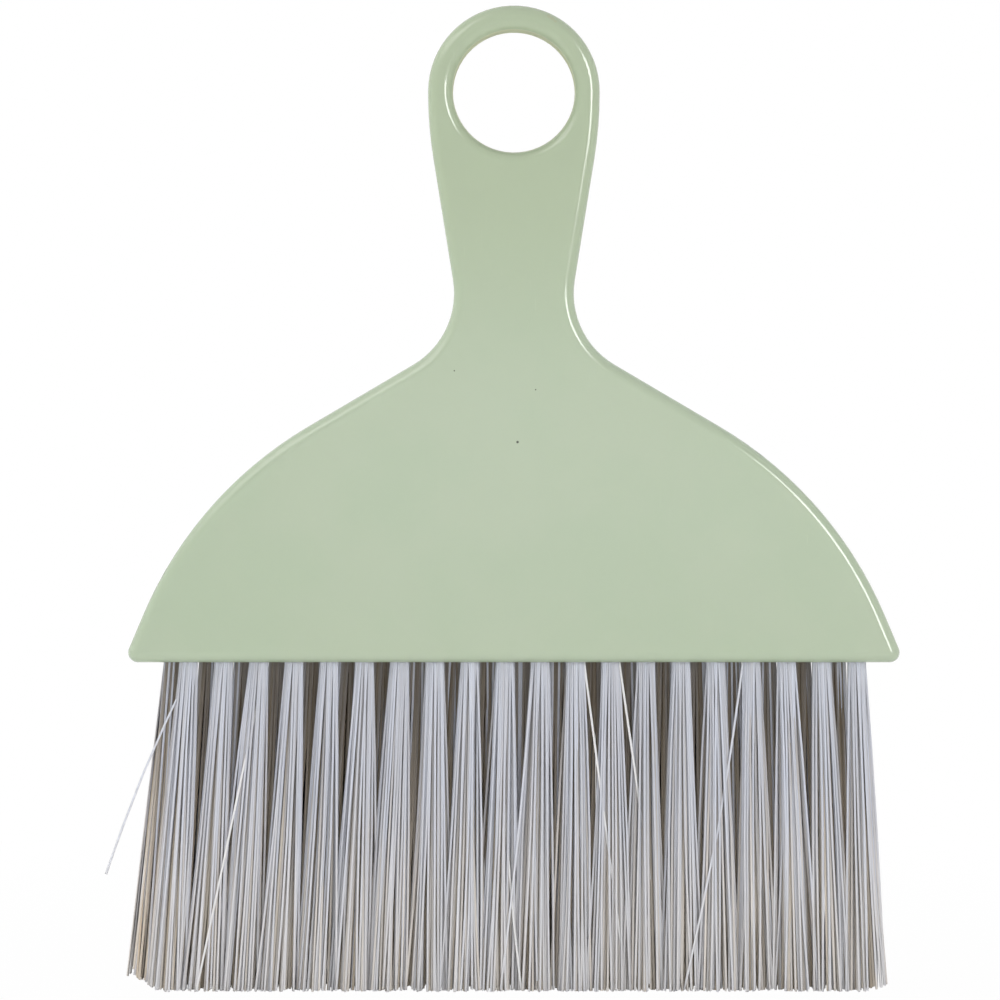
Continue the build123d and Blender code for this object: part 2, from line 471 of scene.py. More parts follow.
@dataclass(frozen=True)
class GlossyPlastic:
    """Glossy moulded plastic: faint mottle, painted shade on the ring and on the hole's wall, flow
    waves, scuffs, specks and nicks.
    """

    name: str
    tone: Colour
    rough: float = 0.14
    rough_shares: Pair = (0.85, 1.15)
    patchy_count: float = 165.0
    patchy_detail: float = 5.0
    mottle: float = 0.014
    mottle_count: float = 55.0
    mottle_body: Pair = (0.35, 0.65)
    mottle_tint: Colour = (1.2, 0.4, 1.0)
    wave_count: float = 42.0
    wave_detail: float = 1.0
    wave_depth: float = 0.00002
    grain_count: float = 2600.0
    grain_depth: float = 0.000001
    ring_shade_tint: Colour = (0.94, 0.94, 0.89)
    ring_shade_start: Pair = (0.108, 0.148)
    hole_middle: Point = (0.0, 0.0, 0.1619)
    hole_wall: Pair = (0.0112, 0.01101)
    hole_wall_shade: Colour = (0.56, 0.60, 0.39)
    hole_rough: float = 0.6
    scuff_shade: float = 1.07
    scuff_rough: float = 0.12
    speck_shade: float = 0.16
    nick_tone: Colour = (0.95, 0.88, 0.80)
    ior: float = 1.49
    mirror_level: float = 1.0
    milkiness: float = 0.08
    milk_radius: Point = (1.0, 1.0, 0.7)
    milk_scale: float = 0.0012
    scuffs: Scuffs = Scuffs()
    specks: tuple[Spot, ...] = ()
    nicks: tuple[Spot, ...] = ()
    edge: FrontEdge | None = None

    def material(self) -> bpy.types.Material:
        """Write the material.

        Returns:
            The material.
        """
        sheet = Sheet(self.name)
        place = sheet.place()
        flat = sheet.vector("MULTIPLY", place, IN_FRONT_PLANE)
        away = sheet.vector("DISTANCE", flat, self.hole_middle)
        wall = sheet.ramp(away, self.hole_wall)
        scuffs = self.scuffs.marks(sheet, place)
        rough = sheet.noise(place, self.patchy_count, self.patchy_detail)
        rough = sheet.uneven(rough, self.rough, self.rough_shares)
        for marks, dulling in ((scuffs, self.scuff_rough), (wall, self.hole_rough)):
            rough = sheet.calc(rough, sheet.calc(marks, dulling, "MULTIPLY"))
        even = self.edge.normal(sheet, place, away) if self.edge else None
        waves = sheet.noise(place, self.wave_count, self.wave_detail)
        normal = sheet.bump(waves, self.wave_depth, even)
        normal = sheet.bump(sheet.noise(place, self.grain_count), self.grain_depth, normal)
        sheet.constants(ior=self.ior, specular_ior_level=self.mirror_level)
        sheet.constants(subsurface_weight=self.milkiness, subsurface_radius=self.milk_radius)
        sheet.constants(subsurface_scale=self.milk_scale)
        return sheet.finish(self.colour(sheet, place, wall, scuffs), rough, normal)

    def colour(self, sheet: Sheet, place: Any, wall: Any, scuffs: Any) -> Any:
        """The colour all over the piece.

        Args:
            sheet: The tree it is written into.
            place: The point on the piece.
            wall: 1 on the wall of the hole.
            scuffs: 1 on a scuff.

        Returns:
            The colour.
        """
        mottle = sheet.ramp(sheet.noise(place, self.mottle_count), self.mottle_body)
        colour = sheet.mix(mottle, self.mottled(-self.mottle), self.mottled(self.mottle))
        # Painted shade: darker and yellower from the top of the handle up over the ring.
        shaded_ring = tint(self.tone, self.ring_shade_tint)
        colour = sheet.mix(sheet.ramp(sheet.axis(place, "Z"), self.ring_shade_start), colour, shaded_ring)
        # Painted shade on the wall of the hole.
        colour = sheet.mix(wall, colour, self.hole_wall_shade)
        colour = sheet.mix(scuffs, colour, shade(self.tone, self.scuff_shade))
        speck, nick = shade(self.tone, self.speck_shade), tint(self.tone, self.nick_tone)
        for marks, tone in ((self.specks, speck), (self.nicks, nick)):
            for centre, radius in marks:
                colour = sheet.mix(sheet.spot(place, centre, radius), colour, tone)
        return colour

    def mottled(self, share: float) -> Colour:
        """The tone, a little warmer above 0 and a little greener below it."""
        return tint(self.tone, tuple(1 + part * share for part in self.mottle_tint))


@dataclass(frozen=True)
class MattePlastic:
    """Plain moulded plastic with an eroded, slightly dusty skin."""

    name: str
    tone: Colour
    rough: float = 0.55
    rough_shares: Pair = (0.9, 1.1)
    cloud_count: float = 160.0
    cloud_shades: Pair = (0.93, 1.07)
    grain_count: float = 2200.0
    grain_depth: float = 0.00002
    detail: float = 4.0
    ior: float = 1.49

    def material(self) -> bpy.types.Material:
        """Write the material.

        Returns:
            The material.
        """
        sheet = Sheet(self.name)
        place = sheet.place()
        clouds = sheet.ramp(sheet.noise(place, self.cloud_count, self.detail), sheet.noise_body)
        dark, light = (shade(self.tone, factor) for factor in self.cloud_shades)
        grain = sheet.noise(place, self.grain_count, self.detail)
        rough = sheet.uneven(grain, self.rough, self.rough_shares)
        sheet.constants(ior=self.ior)
        normal = sheet.bump(grain, self.grain_depth)
        return sheet.finish(sheet.mix(clouds, dark, light), rough, normal)


@dataclass(frozen=True)
class DrawnSteel:
    """Flat drawn wire: fine lines along X and a little tarnish."""

    name: str
    tone: Colour
    rough: float = 0.32
    rough_shares: Pair = (0.8, 1.3)
    line_counts: Point = (300.0, 9000.0, 9000.0)
    line_detail: float = 4.0
    line_depth: float = 0.000008
    tarnish_count: float = 900.0
    tarnish_body: Pair = (0.45, 0.75)
    tarnish_shade: float = 0.72

    def material(self) -> bpy.types.Material:
        """Write the material.

        Returns:
            The material.
        """
        sheet = Sheet(self.name)
        place = sheet.place()
        lines = sheet.streaks(place, self.line_counts, self.line_detail)
        tarnish = sheet.ramp(sheet.noise(place, self.tarnish_count), self.tarnish_body)
        colour = sheet.mix(tarnish, self.tone, shade(self.tone, self.tarnish_shade))
        rough = sheet.uneven(lines, self.rough, self.rough_shares)
        sheet.constants(metallic=1.0)
        return sheet.finish(colour, rough, sheet.bump(lines, self.line_depth))


@dataclass(frozen=True)
class Filament:
    """Drawn translucent filament, whose tone differs from strand to strand.

    The mesh gives each strand a tone, from 0 for the dimmest to 1, and up to 2 for a stray with a
    painted highlight, and a warmth, from 0 at the tuft's outside to 1 and more in its heart, which
    is its share of painted shade. The heart takes a warm painted shade at the tips that turns to a
    dark painted shadow under the body, and the outside turns paler towards the tips.
    """

    name: str
    cool: Colour
    # Painted shade in a tuft's heart near the tips; also the tint of the random streaks.
    warm: Colour
    # Painted shadow in a tuft's heart under the body.
    body_shadow: Colour
    # Painted highlight for the strays whose tone is above 1.
    stray_highlight: Colour = WHITE
    plain_tones: Pair = (0.0, 1.0)
    highlight_tones: Pair = (1.0, 2.0)
    dim_share: float = 0.1
    dimming: float = 0.5
    tip_pale: Colour = (0.90, 0.90, 0.93)
    tip_pale_heights: Pair = (0.040, 0.0)
    tip_pale_share: float = 0.8
    body_shadow_heights: Pair = (0.012, 0.060)
    streak_counts: Point = (2500.0, 2500.0, 120.0)
    streak_detail: float = 3.0
    streak_body: Pair = (0.35, 0.75)
    streak_share: float = 0.12
    rough: float = 0.5
    rough_shares: Pair = (0.85, 1.2)
    gather: float = 0.49
    flatten: float = 0.25
    ior: float = 1.5
    mirror_level: float = 0.2
    sheen: float = 0.5
    sheen_rough: float = 0.5
    sheen_tone: Colour = (1.0, 0.88, 0.74)

    def material(self) -> bpy.types.Material:
        """Write the material.

        Returns:
            The material.
        """
        sheet = Sheet(self.name)
        place = sheet.place()
        tone = sheet.attribute("strand_tone")
        height = sheet.axis(place, "Z")
        # Painted shade: a warm shade in the heart near the tips, darkening to a painted shadow
        # under the body.
        heart_shade = sheet.mix(sheet.ramp(height, self.body_shadow_heights), self.warm, self.body_shadow)
        # Paler towards the tips.
        tip_pale = sheet.ramp(height, self.tip_pale_heights, 0.0, self.tip_pale_share)
        outside = sheet.mix(tip_pale, self.cool, self.tip_pale)
        colour = sheet.mix(sheet.attribute("strand_warmth"), outside, heart_shade)
        dim = sheet.mix(self.dimming, colour, BLACK)
        colour = sheet.mix(sheet.ramp(tone, self.plain_tones, self.dim_share, 0.0), colour, dim)
        # Painted highlight: strays with a tone above 1 are whitened.
        colour = sheet.mix(sheet.ramp(tone, self.highlight_tones), colour, self.stray_highlight)
        streaks = sheet.streaks(place, self.streak_counts, self.streak_detail)
        streak = sheet.ramp(streaks, self.streak_body, 0.0, self.streak_share)
        colour = sheet.mix(streak, colour, self.warm)
        rough = sheet.uneven(streaks, self.rough, self.rough_shares)
        sheet.constants(ior=self.ior, specular_ior_level=self.mirror_level)
        sheet.constants(sheen_weight=self.sheen, sheen_roughness=self.sheen_rough)
        sheet.constants(sheen_tint=self.sheen_tone)
        return sheet.finish(colour, rough, self.normal(sheet))

    def normal(self, sheet: Sheet) -> Any:
        """The strand's own normal, turned part of the way to the side of the tuft that it lies on.

        Args:
            sheet: The tree it is written into.

        Returns:
            The normal.
        """
        kept = 1 - self.gather
        own = sheet.vector("MULTIPLY", sheet.own_normal(), (self.flatten * kept, kept, kept))
        side = sheet.vector("SCALE", sheet.attribute("tuft_side", "Vector"), self.gather)
        return sheet.vector("NORMALIZE", sheet.vector("ADD", own, side))


@dataclass
class MouldedBody:
    """The front shell and the rear cover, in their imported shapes."""

    nodes: dict[str, bpy.types.Object]
    tone: Colour = (0.481, 0.577, 0.411)
    cover_tone: Colour = (0.474, 0.569, 0.404)
    cover_rough: float = 0.16
    specks: tuple[Spot, ...] = (
        ((0.00065, -0.008, 0.0988), 0.0003),
        ((0.0039, -0.008, 0.1082), 0.00016),
        ((-0.0107, -0.008, 0.1116), 0.00016),
    )
    nicks: tuple[Spot, ...] = (
        ((0.0064, -0.0076, 0.1754), 0.0006),
        ((0.0070, -0.0077, 0.1750), 0.0006),
        ((0.0075, -0.0079, 0.1745), 0.0005),
    )
    rubs: tuple[Spot, ...] = (
        ((0.0528, -0.008, 0.0817), 0.0024),
        ((0.0273, -0.008, 0.0722), 0.0020),
        ((0.0525, -0.008, 0.0632), 0.0022),
    )

    def build(self) -> list[bpy.types.Object]:
        """Dress both mouldings.

        Returns:
            The two pieces.
        """
        shell, cover = self.nodes["front_shell"], self.nodes["rear_cover"]
        marks = {"scuffs": Scuffs(rubs=self.rubs), "specks": self.specks, "nicks": self.nicks}
        dress(shell, GlossyPlastic("sage_gloss", self.tone, edge=FrontEdge(), **marks).material())
        plain = GlossyPlastic("sage_gloss_cover", self.cover_tone, rough=self.cover_rough)
        dress(cover, plain.material())
        return [shell, cover]


@dataclass
class BrushBlock:
    """The tuft block and the two rows of anchor staples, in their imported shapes."""

    nodes: dict[str, bpy.types.Object]
    tone: Colour = (0.30, 0.33, 0.25)
    wire_tone: Colour = (0.6, 0.6, 0.6)

    def build(self) -> list[bpy.types.Object]:
        """Dress the block and the staples.

        Returns:
            The three pieces.
        """
        block = self.nodes["tuft_block"]
        dress(block, MattePlastic("block_moulding", self.tone).material())
        steel = DrawnSteel("drawn_wire", self.wire_tone).material()
        staples = [self.nodes[f"staples_{side.label}_row"] for side in Side]
        for row in staples:
            dress(row, steel)
        return [block, *staples]


@dataclass(frozen=True)
class Stray:
    """One strand that leaves its tuft.

    Its root is a place in the unit disc of its tuft's root. The tip is where it ends, the bow how
    far it bends aside half way, and the tone how bright it is; above 1 it takes a painted
    highlight.
    """

    side: Side
    number: int
    root: Pair
    tip: Point
    bow: Pair = (0.0, 0.0)
    tone: float = 1.8


@dataclass
class Courses:
    """Where the strands of one tuft run and how they look, a row for each strand."""

    mouths: np.ndarray
    roots: np.ndarray
    tips: np.ndarray
    bows: np.ndarray
    tones: np.ndarray
    sides: np.ndarray


@dataclass
class StrandStock:
    """One straight strand, modelled once and then copied for every tuft."""

    name: str = "strand_stock"
    radius: float = 0.215 * MM
    levels: tuple[float, ...] = tuple(
        level * MM for level in (3, 13, 28, 43, 54, 59.8, 64.8, 67.5)
    )
    sides: int = 6
    cut_inset: float = 0.05 * MM
    smooth_angle: float = math.radians(70)

    def model(self) -> bpy.types.Object:
        """Model the strand, standing on its cut end at the origin.

        Returns:
            The strand.
        """
        deselect()
        bpy.ops.mesh.primitive_circle_add(vertices=self.sides, radius=self.radius, fill_type="NGON")
        strand = bpy.context.object
        strand.name = strand.data.name = self.name
        bpy.ops.object.mode_set(mode="EDIT")
        bpy.ops.mesh.select_all(action="SELECT")
        for low, high in zip((0.0, *self.levels), self.levels):
            rise = (0.0, 0.0, high - low)
            bpy.ops.mesh.extrude_region_move(TRANSFORM_OT_translate={"value": rise})
        bpy.ops.mesh.select_all(action="SELECT")
        bpy.ops.mesh.normals_make_consistent(inside=False)
        bpy.ops.object.mode_set(mode="OBJECT")
        self.mark_end(strand)
        bpy.ops.object.mode_set(mode="EDIT")
        bpy.ops.mesh.inset(thickness=self.cut_inset)
        bpy.ops.transform.translate(value=(0.0, 0.0, -self.cut_inset / 2))
        bpy.ops.object.mode_set(mode="OBJECT")
        bpy.ops.object.shade_smooth_by_angle(angle=self.smooth_angle)
        return strand

    def mark_end(self, strand: bpy.types.Object) -> None:
        """Select only the face of the cut end.

        Args:
            strand: The strand, in object mode.
        """
        bpy.ops.object.mode_set(mode="EDIT")
        bpy.ops.mesh.select_mode(type="FACE")
        bpy.ops.mesh.select_all(action="DESELECT")
        bpy.ops.object.mode_set(mode="OBJECT")
        for face in strand.data.polygons:
            face.select = face.center.z < self.cut_inset


@dataclass
class TuftRow:
    """One row of tufts, every strand laid from its staple to its cut tip."""

    nodes: dict[str, bpy.types.Object]
    side: Side
    stock: StrandStock
    finish: bpy.types.Material
    strays: tuple[Stray, ...]
    tufts: int = 20
    seed: int = 7
    rings: tuple[int, ...] = (4, 10, 17, 24)
    mouth: float = 59.8 * MM
    staple_low: float = 64.8 * MM
    root_radius: float = 1.47 * MM
    root_top: float = 0.01 * MM
    staple_turn: float = math.radians(30)
    staple_clear: float = 0.27
    lean: float = 1.045
    sweep: float = -1.2 * MM
    tip_middle: float = 3.9 * MM
    fan: Pair = (3.3 * MM, 3.2 * MM)
    bow: float = 0.3 * MM
    wander: Pair = (0.5 * MM, 0.4 * MM)
    tuft_wander: float = 0.35 * MM
    loose_share: float = 0.12
    loose_gain: float = 2.4
    side_reach: float = 4.2 * MM
    tip_reach: float = 7.7 * MM
    jag: float = 0.45 * MM
    short_share: float = 0.04
    shortfall: float = 2 * MM
    cut_slant: float = 0.35
    end_rise: float = 1.9 * MM
    end_start: float = 61.0 * MM
    end_run: float = 8.0 * MM
    # Painted shade: these warmths set each strand's share of painted shade; the odd part is random.
    odd_warmth: float = 0.2
    inner_start: float = 0.15
    inner_warmth: float = 0.75
    core_warmth: float = 1.2
    plain_share: float = 0.2
    front_roundness: float = 0.55
    rear_roundness: float = 1.0
    inner_side: float = -0.2

    @property
    def strands(self) -> int:
        """How many strands a tuft has, strays apart."""
        return sum(self.rings)

    def build(self) -> list[bpy.types.Object]:
        """Build the row.

        Returns:
            One piece for each tuft.
        """
        return [self.tuft(number) for number in range(1, self.tufts + 1)]

    def tuft(self, number: int) -> bpy.types.Object:
        """Build one tuft and stand it in for its node.

        Args:
            number: The tuft's number in its row, from the left.

        Returns:
            The tuft.
        """
        node = f"tuft_{self.side.label}_{number:02d}"
        strays = [s for s in self.strays if s.side is self.side and s.number == number]
        rng = np.random.default_rng([number, self.side.value + 1, self.seed])
        count = self.strands + len(strays)
        piece = self.stock_copy(f"bristles_{self.side.label}_{number:02d}", count)
        self.lay(piece, self.courses(self.root_centre(node), strays, rng), rng)
        dress(piece, self.finish)
        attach(piece, BODY)
        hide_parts(node)
        return piece

    def root_centre(self, node: str) -> Pair:
        """The middle of a packed tuft's root, read from its highest points.

        Args:
            node: The tuft's node.

        Returns:
            Its X and Y.
        """
        points = np.array([v.co for v in self.nodes[node].data.vertices])
        top = points[points[:, 2] > points[:, 2].max() - self.root_top]
        middle = (top.min(axis=0) + top.max(axis=0)) / 2
        return float(middle[0]), float(middle[1])

    def stock_copy(self, name: str, count: int) -> bpy.types.Object:
        """Copy the stock strand and array it.

        Args:
            name: The new piece's name.
            count: How many strands it has.

        Returns:
            A piece with that many straight strands, one after another in its mesh.
        """
        source = bpy.data.objects[self.stock.name]
        piece = source.copy()
        piece.data = source.data.copy()
        piece.name = piece.data.name = name
        bpy.context.scene.collection.objects.link(piece)
        activate(piece)
        array = piece.modifiers.new("strands", "ARRAY")
        array.count = count
        bpy.ops.object.modifier_apply(modifier=array.name)
        return piece

    def lay(self, piece: bpy.types.Object, courses: Courses, rng: np.random.Generator) -> None:
        """Bend every strand of a tuft along its course.

        Args:
            piece: The tuft, with straight strands.
            courses: Where its strands run.
            rng: The tuft's own random numbers.
        """
        mesh, count = piece.data, len(courses.tips)
        size = len(mesh.vertices) // count
        points = np.empty(len(mesh.vertices) * 3)
        mesh.vertices.foreach_get("co", points)
        one = points.reshape(-1, 3)[:size]
        free = np.clip(1 - one[:, 2] / self.mouth, 0, 1)[:, None]
        held = np.clip((one[:, 2] - self.mouth) / (self.staple_low - self.mouth), 0, 1)[:, None]
        laid = np.empty((count, size, 3))
        turns = rng.uniform(0, 2 * math.pi, count)
        cuts = rng.normal(0, self.cut_slant, (count, 2))
        at_tip = one[:, 2] < self.stock.radius
        for index in range(count):
            mouth, tip = courses.mouths[index], courses.tips[index]
            middle = mouth + free * (tip[:2] - mouth)
            bend = np.sin(math.pi * free) * courses.bows[index]
            middle += held * (courses.roots[index] - mouth) + bend
            cos, sin = math.cos(turns[index]), math.sin(turns[index])
            laid[index, :, 0] = middle[:, 0] + one[:, 0] * cos - one[:, 1] * sin
            laid[index, :, 1] = middle[:, 1] + one[:, 0] * sin + one[:, 1] * cos
            slant = np.where(at_tip, one[:, :2] @ cuts[index], 0)
            laid[index, :, 2] = np.maximum(one[:, 2] + tip[2] * free[:, 0] + slant, 0)
        mesh.vertices.foreach_set("co", laid.reshape(-1))
        self.note(mesh, "strand_tone", "FLOAT", "value", np.repeat(courses.tones[:, 0], size))
        # The warmth is each strand's share of painted shade.
        self.note(mesh, "strand_warmth", "FLOAT", "value", np.repeat(courses.tones[:, 1], size))
        sides = np.repeat(courses.sides, size, axis=0)
        self.note(mesh, "tuft_side", "FLOAT_VECTOR", "vector", sides)
        mesh.update()

    def note(
        self, mesh: bpy.types.Mesh, name: str, kind: str, key: str, values: np.ndarray
    ) -> None:
        """Write an attribute on the points of a mesh.

        Args:
            mesh: The mesh.
            name: The attribute's name.
            kind: Its data type.
            key: The name of its values in that type.
            values: A value for each point.
        """
        layer = mesh.attributes.new(name, kind, "POINT")
        layer.data.foreach_set(key, values.astype(np.float32).reshape(-1))

    def courses(self, root: Pair, strays: list[Stray], rng: np.random.Generator) -> Courses:
        """Choose where each strand of a tuft runs.

        Args:
            root: The middle of the tuft's root.
            strays: The strands that leave it.
            rng: The tuft's own random numbers.

        Returns:
            The courses, those of the strays last.
        """
        disc = self.packing(rng.uniform(0, 2 * math.pi, len(self.rings)))
        disc = np.concatenate([disc, np.array([stray.root for stray in strays]).reshape(-1, 2)])
        tips = self.tips(root, disc, rng)
        bows = rng.normal(0, self.bow, (len(disc), 2))
        tones = self.tones(disc, rng)
        for place, stray in enumerate(strays, start=self.strands):
            tips[place], bows[place], tones[place] = stray.tip, stray.bow, (stray.tone, 0.0)
        mouths = np.array(root) + disc * self.root_radius
        roots = np.array(root) + self.part_round_staple(disc) * self.root_radius
        return Courses(mouths, roots, tips, bows, tones, self.sides(disc))

    def tips(self, root: Pair, disc: np.ndarray, rng: np.random.Generator) -> np.ndarray:
        """Choose where the strands of a tuft end.

        Args:
            root: The middle of the tuft's root.
            disc: The strands' places in a unit disc.
            rng: The tuft's own random numbers.

        Returns:
            The tips.
        """
        count = len(disc)
        middle = np.array([root[0] * self.lean + self.sweep, self.side.value * self.tip_middle])
        middle[0] += rng.normal(0, self.tuft_wander)
        loose = np.where(rng.random(count) < self.loose_share, self.loose_gain, 1.0)[:, None]
        stray = rng.normal(0, 1, (count, 2)) * np.array(self.wander) * loose
        ends = middle + disc * np.array(self.fan) + stray
        ends[:, 0] = np.clip(ends[:, 0], middle[0] - self.side_reach, middle[0] + self.side_reach)
        ends[:, 1] = np.clip(ends[:, 1], -self.tip_reach, self.tip_reach)
        is_short = rng.random(count) < self.short_share
        short = np.where(is_short, rng.uniform(0, self.shortfall, count), 0)
        edge = np.clip((np.abs(ends[:, 0]) - self.end_start) / self.end_run, 0, 1)
        rises = self.jag * rng.random(count) ** 2 + short + self.end_rise * edge**2
        return np.column_stack([ends, rises])

    def tones(self, disc: np.ndarray, rng: np.random.Generator) -> np.ndarray:
        """Choose the tone and the warmth of each strand; the warmth is its share of painted shade,
        most in the tuft's heart.

        Args:
            disc: The strands' places in a unit disc.
            rng: The tuft's own random numbers.

        Returns:
            The tones and the warmths, in two columns.
        """
        count = len(disc)
        # Painted shade: strands on the inner side and in the heart take more of it.
        inward = np.clip(self.inner_start - disc[:, 1] * self.side.value, 0, 1)
        depth = np.clip(1 - np.linalg.norm(disc, axis=1), 0, 1)
        warmth = self.odd_warmth * rng.random(count) + self.inner_warmth * inward
        warmth += self.core_warmth * depth
        warmth = np.where(rng.random(count) < self.plain_share, 0.0, warmth)
        return np.stack([rng.random(count), warmth], axis=1)

    def sides(self, disc: np.ndarray) -> np.ndarray:
        """The way out of the tuft at each strand.

        Args:
            disc: The strands' places in a unit disc.

        Returns:
            The directions, and zeros for the strands of the inner side and the strays.
        """
        roundness = self.front_roundness if self.side is Side.FRONT else self.rear_roundness
        across = disc[:, 0] * roundness
        outward = self.side.value * np.sqrt(np.maximum(1 - across**2, 0))
        sides = np.column_stack([across, outward, np.zeros(len(disc))])
        sides *= disc[:, 1:] * self.side.value > self.inner_side
        sides[self.strands :] = 0
        return sides

    def packing(self, turns: np.ndarray) -> np.ndarray:
        """Pack a tuft's strands in rings, one inside another.

        Args:
            turns: Each ring's turn.

        Returns:
            Places in a unit disc, a row for each strand.
        """
        places = []
        for index, (count, turn) in enumerate(zip(self.rings, turns)):
            radius = (index + 0.5) / (len(self.rings) - 0.5)
            angles = turn + 2 * math.pi * np.arange(count) / count
            places.append(radius * np.stack([np.cos(angles), np.sin(angles)], axis=1))
        return np.concatenate(places)

    def part_round_staple(self, disc: np.ndarray) -> np.ndarray:
        """Part the strands of a root to both sides of its staple.

        Args:
            disc: Places in a unit disc.

        Returns:
            Places that keep clear of the staple's line through the disc.
        """
        cos, sin = math.cos(self.staple_turn), math.sin(self.staple_turn)
        along = disc[:, 0] * cos + disc[:, 1] * sin
        across = -disc[:, 0] * sin + disc[:, 1] * cos
        apart = self.staple_clear + (1 - self.staple_clear) * np.abs(across)
        across = np.where(across < 0, -1, 1) * apart
        parted = np.stack([along * cos - across * sin, along * sin + across * cos], axis=1)
        length = np.maximum(1.0, np.linalg.norm(parted, axis=1))
        return parted / length[:, None]


@dataclass
class Lamp:
    """One soft lamp: where it stands as seen from the broom, its size and its power.

    The azimuth counts from the front towards +X, and both angles are in degrees. A lamp with a
    stand of its own stands there, and still faces the way that its angles give.
    """

    name: str
    azimuth: float
    elevation: float
    distance: float
    width: float
    height: float
    power: float
    glossy: bool = True
    stand: Point | None = None

    def build(self, aim: Vector) -> bpy.types.Object:
        """Stand the lamp in its place.

        Args:
            aim: The point it faces.

        Returns:
            The lamp.
        """
        data = bpy.data.lights.new(self.name, "AREA")
        data.shape = "RECTANGLE"
        data.size, data.size_y, data.energy = self.width, self.height, self.power
        lamp = bpy.data.objects.new(self.name, data)
        turn, rise = math.radians(self.azimuth), math.radians(self.elevation)
        away = Vector(
            (math.sin(turn) * math.cos(rise), -math.cos(turn) * math.cos(rise), math.sin(rise))
        )
        lamp.location = self.stand or aim + away * self.distance
        lamp.rotation_euler = away.to_track_quat("Z", "Y").to_euler()
        lamp.visible_camera, lamp.visible_glossy = False, self.glossy
        bpy.context.scene.collection.objects.link(lamp)
        return lamp


